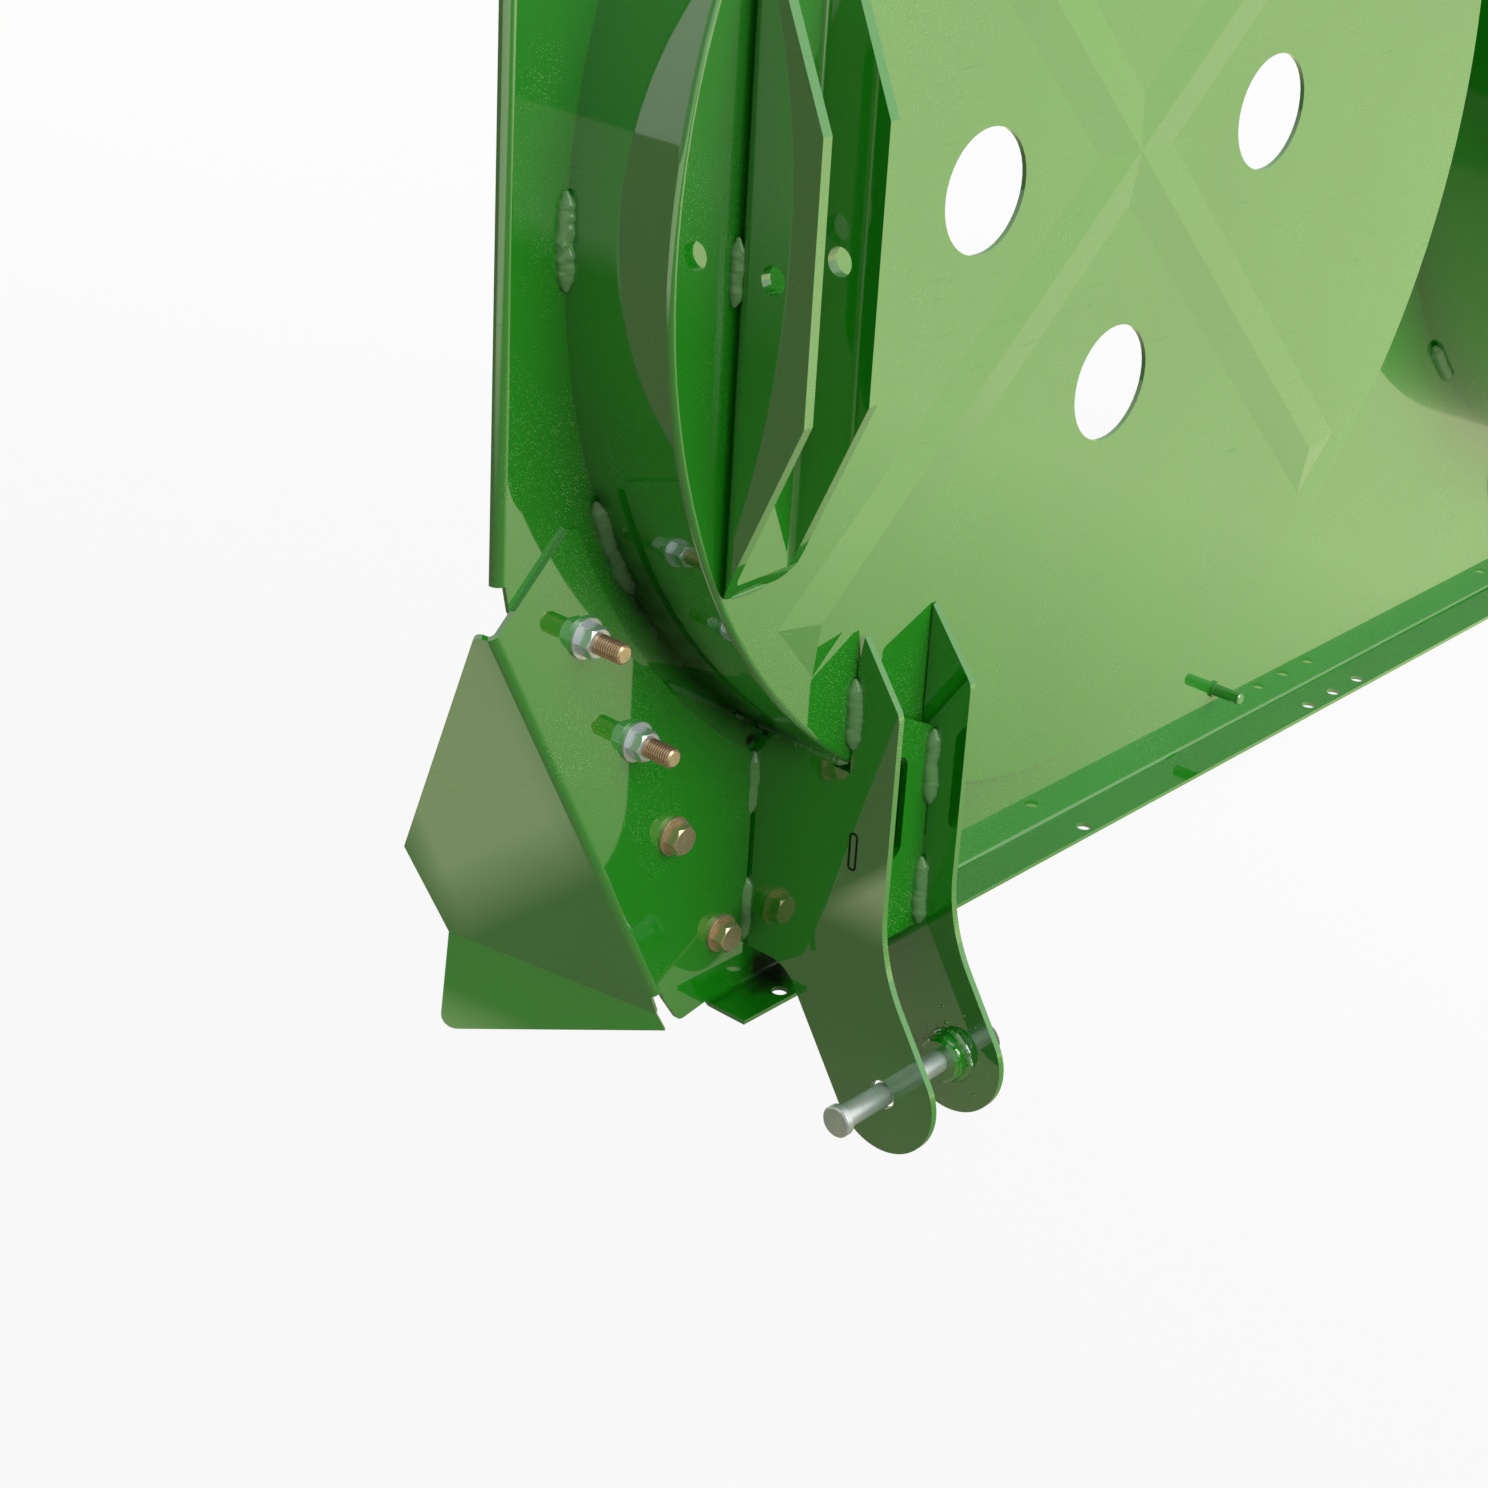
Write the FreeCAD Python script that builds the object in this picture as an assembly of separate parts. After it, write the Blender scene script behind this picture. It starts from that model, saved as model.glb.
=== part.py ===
import FreeCAD, Part
import math
import os

V = FreeCAD.Vector

# X runs across the housing, Y from the pans (front, minus) to the open back and
# Z up. All sizes in mm. Shapes are drawn from X = 0 midway between the pans,
# Y = 0 on the front face of the rear panel and Z = 0 at the height of the pan
# centres. When saved they are moved so that the part's own origin lies midway
# between the pans on the pin axis of the upper ears. Everything on the left is
# built once and mirrored to the right.

# Places marked off_rim are a reach beyond the pan's rim and an angle from
# straight down, in degrees, both seen from the pan's centre.

# Pans
PAN_R = 350.0
PAN_GAP = 50.0
PAN_DEPTH = 65.4
PAN_SHEET = 2.5
PAN_CORNER_R = 3.2
PAN_SPACING = 2 * PAN_R + PAN_GAP
PAN_X = -PAN_SPACING / 2
FACE_Y = -PAN_DEPTH
PAN_HOLE_R = 32.0
PAN_HOLE_PCR = 127.0
RIB_ANGLES = (45.0, -40.3)
RIB_END_GAP = 24.0
RIB_HALF_LENGTH = PAN_R - RIB_END_GAP
RIB_HALF_WIDTH = 22.0
RIB_HEIGHT = 3.0
RIB_RUN_OUT = 20.0

# Rear panel, a folded sheet
SHEET = 2.5
BEND_R = 2.5
SIDE_MARGIN = 38.0
TOP_MARGIN = 50.0
SHELF_MARGIN = 98.5
PANEL_HALF = PAN_SPACING / 2 + PAN_R + SIDE_MARGIN
PANEL_TOP = PAN_R + TOP_MARGIN
SHELF_TOP = -PAN_R - SHELF_MARGIN
SHELF_DEPTH = 27.6
LIP_DEPTH = 6.0
LIP_NOTCH = 14.0
NOTCH_IN = 8.0
NOTCH_TO_FOLD = 9.5
SHELF_END = (149.5, 26.77)
BOLT_HOLE_R = 5.5
SHELF_HOLE_R = 4.5
SHELF_HOLE_Y = -20.0
SHELF_HOLE_END = 37.5
SHELF_HOLE_X = 95.0
SHELF_MID_X = 7.5
SHELF_MID_PITCH = 31.0

# Deflector wing, one folded sheet in three facets. The corners of its flat
# facet are off_rim, the others run along and away from the folds.
WING_SHEET = 3.0
WING_BEND_R = 3.0
WING_RIM_GAP = 15.0
WING_ARC_R = PAN_R + WING_RIM_GAP
WING_TIP_A = (22.1, 68.13)
WING_TIP_B = (17.1, 67.68)
WING_FOLD_TOP = (82.5, 65.19)
WING_FOLD_END = (157.1, 31.61)
WING_TOE = (163.9, 29.11)
WING_TOE_R = 6.0
WING_ARM_GAP = 2.0
WING_SHELF_GAP = 3.0
WING_SHELF_END = 4.0
BEND_END = 6.0
WING_ANGLE = 60.0
TAIL_ANGLE = 29.0
TOP_CORNER = (-4.0, 8.6)
TOP_CORNER_R = 4.0
FAR_TOP = (144.0, 98.0)
FAR_LOW = (-66.6, 98.0)
TAIL_ROOT = (8.9, 4.6)
TAIL_CORNER = (18.5, 55.0)
TAIL_CORNER_R = 9.0
TAIL_HEEL = (128.6, 7.0)

# Lower bracket: two arms and a web
ARM_T = 4.0
ARM_RIM_ANGLE = 34.67
ARM_PITCH = 58.1
ARM_OUTER_X = PAN_X - PAN_R * math.sin(math.radians(ARM_RIM_ANGLE))
ARM_INNER_X = ARM_OUTER_X + ARM_PITCH
ARM_RIM_Z = -PAN_R * math.cos(math.radians(ARM_RIM_ANGLE))
ARM_REACH = 29.6
ARM_FRONT = FACE_Y - ARM_REACH
ARM_TIP_RISE = 72.9
ARM_TIP_Z = ARM_RIM_Z + ARM_TIP_RISE
ARM_TIP_LENGTH = 36.0
ARM_SHOULDER_Z = ARM_TIP_Z - ARM_TIP_LENGTH
ARM_SHOULDER_R = 10.0
ARM_KNEE_R = 100.0
ARM_FOOT_RISE = 27.0
ARM_FOOT_Z = SHELF_TOP + ARM_FOOT_RISE
ARM_FOOT_R = 20.0
ARM_FACE_GAP = 0.8
RIM_GAP = 0.3
RELIEF_DEPTH = 2.0
RELIEF_LENGTH = 10.0
EYE_REACH = 39.1
EYE_DROP = 22.0
EYE_Y = FACE_Y - EYE_REACH
EYE_Z = SHELF_TOP - EYE_DROP
EYE_R = 34.0
EYE_HOLE_R = 8.25
TIP_LIFT = 2.8
TIP_LIFT_RUN = 18.0
LEG_ANGLE = 33.0
WEB_T = 4.0
WEB_STAND = 8.6
WEB_FRONT = FACE_Y - WEB_STAND
WEB_TOP_GAP = 4.0
WEB_TOP_SLANT = 27.0
WEB_TOP_OUTER = ARM_SHOULDER_Z - WEB_TOP_GAP
WEB_TOP_INNER = WEB_TOP_OUTER - WEB_TOP_SLANT
WEB_FOOT_GAP = 20.5
WEB_BOTTOM = ARM_FOOT_Z + WEB_FOOT_GAP
WEB_SLOT_R = 7.0
WEB_SLOT_DROP = 10.0
WEB_SLOT_LENGTH = 60.0
WEB_SLOT_TOP = WEB_TOP_INNER - WEB_SLOT_DROP
WEB_SLOT_BOTTOM = WEB_SLOT_TOP - WEB_SLOT_LENGTH
TAB_RISE = 64.5
TAB_Z = WEB_BOTTOM + TAB_RISE
TAB_LENGTH = 20.5
TAB_SLOT_PLAY = 0.5

# Clevis pin, collar and retaining ring
PIN_R = 6.5
PIN_FIT = 0.05
PIN_HEAD_R = 8.9
PIN_HEAD_T = 5.0
PIN_HEAD_OUT = 38.4
PIN_END_OUT = 33.0
PIN_HEAD_X = ARM_OUTER_X - PIN_HEAD_OUT
PIN_END_X = ARM_INNER_X + PIN_END_OUT
PIN_HEAD_CHAMFER = 1.0
PIN_END_CHAMFER = 2.0
COLLAR_R = 13.0
COLLAR_L = 10.0
COLLAR_CHAMFER = 1.5
RING_IN = 12.0
RING_X = PIN_END_X - RING_IN
RING_R = 9.5
RING_WIRE_R = 1.0
RING_PLAY = 0.05
RING_TILT = 30.0

# Upper bracket, one folded channel on the pan face. Its outer corners lie just
# past the pan's rim.
EAR_T = 6.0
EAR_BEND_R = 3.0
EAR_RIM_IN = 40.4
EAR_SPAN = 51.3
EAR_REACH = 46.6
EAR_OUTER_X = PAN_X - PAN_R + EAR_RIM_IN
EAR_INNER_X = EAR_OUTER_X + EAR_SPAN
EAR_FRONT = FACE_Y - EAR_REACH
EAR_FRONT_HALF = 66.0
CHANNEL_PAST_RIM = 2.8
CHANNEL_HALF = math.sqrt(PAN_R ** 2 - (PAN_R - EAR_RIM_IN) ** 2) + CHANNEL_PAST_RIM
CHANNEL_CORNER_R = 10.0
EAR_ROOT_GAP = 9.0
EAR_ROOT_HALF = CHANNEL_HALF - EAR_ROOT_GAP
EAR_HOLE_REACH = 23.4
EAR_HOLE_Y = FACE_Y - EAR_HOLE_REACH
EAR_HOLE_Z = -3.0
EAR_HOLE_R = 7.0

# Fasteners, all M10 with a hex flange, at off_rim spots
THREAD_R = 5.0
THREAD_CHAMFER = 1.0
FLANGE_R = 10.7
FLANGE_T = 2.0
HEX_AF = 15.0
HEX_CORNER_CUT = 0.2
HEAD_H = 9.5
NUT_H = 10.0
NUT_PLAY = 0.05
LONG_BOLT_OUT = 30.0
SHORT_BOLT_OUT = 13.5
NUT_SPOTS = ((36.6, 59.19), (46.4, 47.76))
BOLT_SPOTS = ((72.6, 38.38), (111.8, 28.59))

# Weld stud
STUD_X = PAN_X + 260.3
STUD_RISE = 33.6
STUD_Z = SHELF_TOP + STUD_RISE
STUD_R = 4.0
STUD_L = 21.0
STUD_CHAMFER = 0.8
STUD_FOOT_R = 5.5
STUD_FOOT_T = 2.0

# Overrun of every cutting tool past the sheet that it cuts
CUT_OVER = 5.0


def off_rim(reach, degrees):
    """X and Z of a place by the left pan, by its reach beyond the rim and angle."""
    turn = math.radians(degrees)
    radius = PAN_R + reach
    return PAN_X - radius * math.sin(turn), -radius * math.cos(turn)


def outline(points, rounds=None):
    """Closed wire through the points, with a corner radius by point index."""
    rounds = rounds or {}
    count = len(points)
    starts = []
    ends = []
    arcs = []
    for i, corner in enumerate(points):
        radius = rounds.get(i, 0)
        if not radius:
            starts.append(corner)
            ends.append(corner)
            arcs.append(None)
            continue
        back = (points[i - 1] - corner).normalize()
        ahead = (points[(i + 1) % count] - corner).normalize()
        half = back.getAngle(ahead) / 2
        run = radius / math.tan(half)
        middle = (back + ahead).normalize() * (radius / math.sin(half) - radius)
        starts.append(corner + back * run)
        ends.append(corner + ahead * run)
        arcs.append(corner + middle)
    edges = []
    for i in range(count):
        if arcs[i]:
            edges.append(Part.Arc(starts[i], arcs[i], ends[i]).toShape())
        following = starts[(i + 1) % count]
        if ends[i].distanceToPoint(following) > 1e-6:
            edges.append(Part.makeLine(ends[i], following))
    return Part.Wire(edges)


def plate(points, thickness, rounds=None):
    """Flat piece: the outline pushed along the thickness vector."""
    return Part.Face(outline(points, rounds)).extrude(thickness)


def xz(y, pairs):
    return [V(x, y, z) for x, z in pairs]


def yz(x, pairs):
    return [V(x, y, z) for y, z in pairs]


def mirrored(shape):
    return shape.mirror(V(0, 0, 0), V(1, 0, 0))


def rod_y(radius, x, z, y_front, y_back):
    return Part.makeCylinder(radius, y_back - y_front, V(x, y_front, z), V(0, 1, 0))


def rod_x(radius, y, z, x_left, x_right):
    return Part.makeCylinder(radius, x_right - x_left, V(x_left, y, z), V(1, 0, 0))


def bent(root, pivot, axis, angle, run):
    """Bend swept from a root face, then straight on for the run."""
    bend = root.revolve(pivot, axis, angle)
    far = root.copy()
    far.rotate(pivot, axis, angle)
    return bend, far.extrude(run)


def rear_panel():
    edge = PANEL_HALF - BEND_R - SHEET
    bend_z = SHELF_TOP + BEND_R
    notch_z = off_rim(*WING_FOLD_TOP)[1] + NOTCH_TO_FOLD
    lip_end = notch_z + LIP_NOTCH
    shelf_end = off_rim(*SHELF_END)[0]
    half = [(-edge, PANEL_TOP), (-edge, lip_end), (NOTCH_IN - PANEL_HALF, notch_z),
            (shelf_end, bend_z)]
    other = [(-x, z) for x, z in reversed(half)]
    panel = plate(xz(0, half + other), V(0, SHEET, 0))
    root = Part.Face(outline([
        V(shelf_end, 0, bend_z),
        V(-shelf_end, 0, bend_z),
        V(-shelf_end, SHEET, bend_z),
        V(shelf_end, SHEET, bend_z),
    ]))
    shelf = bent(root, V(0, -BEND_R, bend_z), V(-1, 0, 0), 90, V(0, BEND_R - SHELF_DEPTH, 0))
    side = Part.Face(outline([
        V(-edge, 0, lip_end),
        V(-edge, SHEET, lip_end),
        V(-edge, SHEET, PANEL_TOP),
        V(-edge, 0, PANEL_TOP),
    ]))
    pivot = V(-edge, SHEET + BEND_R, 0)
    lip = bent(side, pivot, V(0, 0, -1), 90, V(0, LIP_DEPTH - SHEET - BEND_R, 0))
    folds = list(shelf) + list(lip) + [mirrored(s) for s in lip]
    panel = panel.multiFuse(folds).removeSplitter()
    cuts = []
    for side_x in (PAN_X, -PAN_X):
        cuts.append(rod_y(PAN_R - PAN_SHEET, side_x, 0, -CUT_OVER, SHEET + CUT_OVER))
    for spot in NUT_SPOTS + BOLT_SPOTS:
        hole = rod_y(BOLT_HOLE_R, *off_rim(*spot), -CUT_OVER, SHEET + CUT_OVER)
        cuts += [hole, mirrored(hole)]
    shelf_holes = [shelf_end + SHELF_HOLE_END, PAN_X + SHELF_HOLE_X]
    shelf_holes += [-x for x in shelf_holes]
    shelf_holes += [SHELF_MID_X + step * SHELF_MID_PITCH for step in (-1, 0, 1)]
    for x in shelf_holes:
        base = V(x, SHELF_HOLE_Y, SHELF_TOP - SHEET - CUT_OVER)
        cuts.append(Part.makeCylinder(SHELF_HOLE_R, SHEET + 2 * CUT_OVER, base))
    return panel.cut(Part.makeCompound(cuts))


def rib(angle):
    """Pressed rib: a low ridge with a sharp crest and run-out ends."""
    crest = RIB_HALF_LENGTH - RIB_RUN_OUT
    corners = [(-1, -1), (1, -1), (1, 1), (-1, 1)]
    base = [V(a * RIB_HALF_LENGTH, 0, b * RIB_HALF_WIDTH) for a, b in corners]
    top = [V(-crest, -RIB_HEIGHT, 0), V(crest, -RIB_HEIGHT, 0)]
    faces = [
        Part.Face(outline(base)),
        Part.Face(outline([base[0], base[1], top[1], top[0]])),
        Part.Face(outline([base[2], base[3], top[0], top[1]])),
        Part.Face(outline([base[1], base[2], top[1]])),
        Part.Face(outline([base[3], base[0], top[0]])),
    ]
    ridge = Part.makeSolid(Part.makeShell(faces))
    ridge.rotate(V(0, 0, 0), V(0, 1, 0), angle)
    return ridge


def pan():
    inner = PAN_R - PAN_SHEET
    profile = outline([
        V(0, FACE_Y, 0),
        V(PAN_R, FACE_Y, 0),
        V(PAN_R, 0, 0),
        V(inner, 0, 0),
        V(inner, FACE_Y + PAN_SHEET, 0),
        V(0, FACE_Y + PAN_SHEET, 0),
    ], {1: PAN_CORNER_R, 4: PAN_CORNER_R - PAN_SHEET})
    shell = Part.Face(profile).revolve(V(0, 0, 0), V(0, 1, 0), 360)
    ridges = rib(RIB_ANGLES[0]).fuse(rib(RIB_ANGLES[1]))
    outside = ridges.translated(V(0, FACE_Y, 0))
    inside = ridges.translated(V(0, FACE_Y + PAN_SHEET, 0))
    shell = shell.fuse(outside).removeSplitter().cut(inside)
    holes = []
    for step in range(4):
        turn = math.radians(90 * step)
        x = PAN_HOLE_PCR * math.cos(turn)
        z = PAN_HOLE_PCR * math.sin(turn)
        holes.append(rod_y(PAN_HOLE_R, x, z, FACE_Y - CUT_OVER, FACE_Y + PAN_SHEET + CUT_OVER))
    shell = shell.cut(Part.makeCompound(holes))
    return shell.translated(V(PAN_X, 0, 0))


def upper_bracket():
    reach = EAR_BEND_R + EAR_T
    left = EAR_OUTER_X + reach
    right = EAR_INNER_X - reach
    back = FACE_Y
    front = FACE_Y - EAR_T
    low = -CHANNEL_HALF
    base = plate([V(left, back, low), V(right, back, low), V(right, front, low),
                  V(left, front, low)], V(0, 0, 2 * CHANNEL_HALF))
    parts = [base]
    pivot_y = front - EAR_BEND_R
    run = V(0, EAR_FRONT - pivot_y, 0)
    for x, axis in ((left, V(0, 0, -1)), (right, V(0, 0, 1))):
        root = Part.Face(outline([V(x, back, low), V(x, front, low),
                                  V(x, front, -low), V(x, back, -low)]))
        parts += bent(root, V(x, pivot_y, 0), axis, -90, run)
    channel = parts[0].multiFuse(parts[1:]).removeSplitter()
    half = [(back, low), (front, -EAR_ROOT_HALF), (EAR_FRONT, -EAR_FRONT_HALF)]
    other = [(y, -z) for y, z in reversed(half)]
    side = plate(yz(EAR_OUTER_X, half + other), V(EAR_INNER_X - EAR_OUTER_X, 0, 0))
    plan = plate([V(EAR_OUTER_X, back, low), V(EAR_INNER_X, back, low),
                  V(EAR_INNER_X, back, -low), V(EAR_OUTER_X, back, -low)],
                 V(0, EAR_FRONT - back, 0), dict.fromkeys(range(4), CHANNEL_CORNER_R))
    channel = channel.common(side).common(plan)
    return channel.cut(rod_x(EAR_HOLE_R, EAR_HOLE_Y, EAR_HOLE_Z, EAR_OUTER_X - CUT_OVER,
                             EAR_INNER_X + CUT_OVER))


def arm(left_x, tip_lift=0.0):
    """Arm plate, notched over the pan rim and welded to face and panel."""
    inner_edge = left_x + ARM_T - PAN_X
    rim_z = -math.sqrt(PAN_R ** 2 - inner_edge ** 2) - RIM_GAP
    back = FACE_Y - ARM_FACE_GAP
    lean = math.radians(LEG_ANGLE)
    side = V(0, -math.cos(lean), math.sin(lean)) * EYE_R
    down = V(0, -math.sin(lean), -math.cos(lean)) * EYE_R
    eye = V(left_x, EYE_Y, EYE_Z)
    front_line = eye + side
    knee_z = front_line.z + (ARM_FRONT - front_line.y) / math.tan(lean)
    back_line = eye - side
    rise = (ARM_FOOT_Z - back_line.z) * math.tan(lean)
    relief_y = FACE_Y + RELIEF_LENGTH
    points = yz(left_x, [
        (back - tip_lift, ARM_TIP_Z),
        (ARM_FRONT, ARM_SHOULDER_Z),
        (ARM_FRONT, knee_z),
    ])
    points += [front_line + down, back_line + down]
    points += yz(left_x, [
        (back_line.y + rise, ARM_FOOT_Z),
        (0, ARM_FOOT_Z),
        (0, rim_z),
        (relief_y, rim_z),
        (relief_y, rim_z - RELIEF_DEPTH),
        (back, rim_z - RELIEF_DEPTH),
    ])
    if tip_lift:
        points.append(V(left_x, back, ARM_TIP_Z - TIP_LIFT_RUN))
    rounds = {1: ARM_SHOULDER_R, 2: ARM_KNEE_R, 3: EYE_R, 4: EYE_R, 5: ARM_FOOT_R}
    blank = plate(points, V(ARM_T, 0, 0), rounds)
    slot_half = TAB_LENGTH / 2 + TAB_SLOT_PLAY
    slot_y = WEB_FRONT + WEB_T / 2
    wide = WEB_T / 2 + TAB_SLOT_PLAY
    slot = plate(yz(left_x - CUT_OVER, [
        (slot_y - wide, TAB_Z - slot_half),
        (slot_y + wide, TAB_Z - slot_half),
        (slot_y + wide, TAB_Z + slot_half),
        (slot_y - wide, TAB_Z + slot_half),
    ]), V(ARM_T + 2 * CUT_OVER, 0, 0), dict.fromkeys(range(4), wide - TAB_SLOT_PLAY))
    hole = rod_x(EYE_HOLE_R, EYE_Y, EYE_Z, left_x - CUT_OVER, left_x + ARM_T + CUT_OVER)
    return blank.cut(slot).cut(hole)


def web():
    left = ARM_OUTER_X + ARM_T
    right = ARM_INNER_X
    middle = (left + right) / 2
    body = plate(xz(WEB_FRONT, [
        (left, WEB_TOP_OUTER),
        (right, WEB_TOP_INNER),
        (right, WEB_BOTTOM),
        (left, WEB_BOTTOM),
    ]), V(0, WEB_T, 0))
    tab = Part.makeBox(right - left + 2 * ARM_T, WEB_T, TAB_LENGTH,
                       V(left - ARM_T, WEB_FRONT, TAB_Z - TAB_LENGTH / 2))
    slot = plate(xz(WEB_FRONT - CUT_OVER, [
        (middle - WEB_SLOT_R, WEB_SLOT_BOTTOM),
        (middle + WEB_SLOT_R, WEB_SLOT_BOTTOM),
        (middle + WEB_SLOT_R, WEB_SLOT_TOP),
        (middle - WEB_SLOT_R, WEB_SLOT_TOP),
    ]), V(0, WEB_T + 2 * CUT_OVER, 0), dict.fromkeys(range(4), WEB_SLOT_R))
    return body.fuse(tab).removeSplitter().cut(slot)


def collar():
    left = ARM_INNER_X - COLLAR_L
    body = rod_x(COLLAR_R, EYE_Y, EYE_Z, left, ARM_INNER_X)
    body = body.makeChamfer(COLLAR_CHAMFER, [e for e in body.Edges
                                             if e.BoundBox.XMax < left + COLLAR_CHAMFER])
    return body.cut(rod_x(PIN_R + PIN_FIT, EYE_Y, EYE_Z, left - CUT_OVER,
                          ARM_INNER_X + CUT_OVER))


def ring_sag():
    return RING_R - math.sqrt(RING_R ** 2 - PIN_R ** 2)


def ring_direction():
    tilt = math.radians(RING_TILT)
    return V(0, -math.cos(tilt), math.sin(tilt))


def clevis_pin():
    profile = outline([
        V(PIN_HEAD_X, 0, 0),
        V(PIN_HEAD_X, PIN_HEAD_R - PIN_HEAD_CHAMFER, 0),
        V(PIN_HEAD_X + PIN_HEAD_CHAMFER, PIN_HEAD_R, 0),
        V(PIN_HEAD_X + PIN_HEAD_T, PIN_HEAD_R, 0),
        V(PIN_HEAD_X + PIN_HEAD_T, PIN_R, 0),
        V(PIN_END_X - PIN_END_CHAMFER, PIN_R, 0),
        V(PIN_END_X, PIN_R - PIN_END_CHAMFER, 0),
        V(PIN_END_X, 0, 0),
    ])
    pin = Part.Face(profile).revolve(V(0, 0, 0), V(1, 0, 0), 360)
    pin.translate(V(0, EYE_Y, EYE_Z))
    across = ring_direction().cross(V(1, 0, 0))
    centre = V(RING_X, EYE_Y, EYE_Z)
    hole_r = RING_WIRE_R + ring_sag() / 2 + RING_PLAY
    hole = Part.makeCylinder(hole_r, 4 * PIN_R, centre - across * 2 * PIN_R, across)
    return pin.cut(hole)


def retaining_ring():
    centre = V(RING_X, EYE_Y, EYE_Z) + ring_direction() * (RING_R - ring_sag() / 2)
    return Part.makeTorus(RING_R, RING_WIRE_R, centre, V(1, 0, 0))


def wing_flat(first, last):
    """The wing's facet on the panel, up to the fold line from first to last."""

    def front(x, z):
        return V(x, -WING_SHEET, z)

    arc_end_x = ARM_OUTER_X - WING_ARM_GAP
    arc_end_z = -math.sqrt(WING_ARC_R ** 2 - (arc_end_x - PAN_X) ** 2)
    start_x, start_z = off_rim(*WING_TIP_B)
    middle = math.atan2(start_z + arc_end_z, start_x + arc_end_x - 2 * PAN_X)
    arc_mid = front(PAN_X + WING_ARC_R * math.cos(middle), WING_ARC_R * math.sin(middle))
    arc_stop = front(arc_end_x, arc_end_z)
    tip = front(*off_rim(*WING_TIP_A))
    arc_start = front(start_x, start_z)
    bottom = SHELF_TOP + WING_SHELF_GAP
    low = front(arc_end_x, bottom)
    mid_low = front(off_rim(*SHELF_END)[0] - WING_SHELF_END, bottom)
    toe = front(*off_rim(*WING_TOE))
    edges = [
        Part.makeLine(first, tip),
        Part.makeLine(tip, arc_start),
        Part.Arc(arc_start, arc_mid, arc_stop).toShape(),
        Part.makeLine(arc_stop, low),
        Part.makeLine(low, mid_low),
        Part.makeLine(mid_low, toe),
        Part.makeLine(toe, last),
        Part.makeLine(last, first),
    ]
    flat = Part.Face(Part.Wire(edges)).extrude(V(0, WING_SHEET, 0))
    toe_edges = [e for e in flat.Edges if abs(e.Vertexes[0].X - toe.x) < 0.01
                 and abs(e.Vertexes[-1].X - toe.x) < 0.01]
    flat = flat.makeFillet(WING_TOE_R, toe_edges)
    spots = [rod_y(BOLT_HOLE_R, *off_rim(*spot), -WING_SHEET - CUT_OVER, CUT_OVER)
             for spot in NUT_SPOTS + BOLT_SPOTS]
    return flat.cut(Part.makeCompound(spots))


def deflector_wing():
    """Sheet drawn flat from the main fold line, then folded twice."""
    out_r = WING_BEND_R + WING_SHEET
    top_x, top_z = off_rim(*WING_FOLD_TOP)
    end_x, end_z = off_rim(*WING_FOLD_END)
    top = V(top_x, -WING_SHEET, top_z)
    end = V(end_x, -WING_SHEET, end_z)
    length = top.distanceToPoint(end)
    along = (end - top).normalize()
    away = V(along.z, 0, -along.x)
    back = V(0, WING_SHEET, 0)
    inset = out_r * math.tan(math.radians(WING_ANGLE / 2))
    first = top - away * inset
    last = first + along * length
    flat = wing_flat(first, last)

    pivot = first + V(0, out_r, 0)
    bend_end = last - along * BEND_END
    root = Part.Face(outline([first, bend_end, bend_end + back, first + back]))
    bend = root.revolve(pivot, along, WING_ANGLE)

    def from_top(run, width):
        return first + along * run + away * (width - inset)

    def from_end(run, width):
        return last + along * run + away * (width - inset)

    low_corner = from_end(*FAR_LOW)
    root_corner = from_end(*TAIL_ROOT)
    flank = plate([
        first,
        from_top(*TOP_CORNER),
        from_top(*FAR_TOP),
        low_corner,
        root_corner,
        bend_end,
    ], back, {1: TOP_CORNER_R})

    crease = (root_corner - low_corner).normalize()
    beyond = V(0, 1, 0).cross(crease)
    tail = plate([
        low_corner,
        root_corner,
        low_corner + crease * TAIL_HEEL[0] + beyond * TAIL_HEEL[1],
        low_corner + crease * TAIL_CORNER[0] + beyond * TAIL_CORNER[1],
    ], back, {3: TAIL_CORNER_R})
    tail.rotate(low_corner, crease, -TAIL_ANGLE)
    wedge_root = Part.Face(outline([low_corner, root_corner, root_corner + back,
                                    low_corner + back]))
    wedge = wedge_root.revolve(low_corner, crease, -TAIL_ANGLE)
    flank = flank.multiFuse([tail, wedge])
    flank.rotate(pivot, along, WING_ANGLE)
    return flat.multiFuse([bend, flank]).removeSplitter()


def hexagon(x, z, y_front, y_back):
    corner = HEX_AF / 2 / math.cos(math.radians(30))
    turns = [math.radians(60 * i) for i in range(6)]
    pairs = [(x + corner * math.cos(t), z + corner * math.sin(t)) for t in turns]
    return plate(xz(y_front, pairs), V(0, y_back - y_front, 0))


def flanged(x, z, seat_y, away, height):
    """Hex on its round flange, standing off a seat along Y (away is 1 or -1)."""
    top = seat_y + away * height
    brim = seat_y + away * FLANGE_T
    y1, y2 = sorted((seat_y, top))
    prism = hexagon(x, z, y1, y2)
    tip_r = HEX_AF / 2 - HEX_CORNER_CUT
    cone = Part.makeCone(tip_r + height, tip_r, height, V(x, seat_y, z), V(0, away, 0))
    y1, y2 = sorted((seat_y, brim))
    return prism.common(cone).fuse(rod_y(FLANGE_R, x, z, y1, y2)).removeSplitter()


def long_bolts():
    tip = -LONG_BOLT_OUT
    bolts = []
    for spot in NUT_SPOTS:
        x, z = off_rim(*spot)
        head = flanged(x, z, SHEET, 1, HEAD_H)
        shank = rod_y(THREAD_R, x, z, tip, SHEET)
        shank = shank.makeChamfer(THREAD_CHAMFER, [e for e in shank.Edges
                                                   if e.BoundBox.YMax < tip + 0.1])
        bolt = head.fuse(shank).removeSplitter()
        bolts += [bolt, mirrored(bolt)]
    return Part.makeCompound(bolts)


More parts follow.
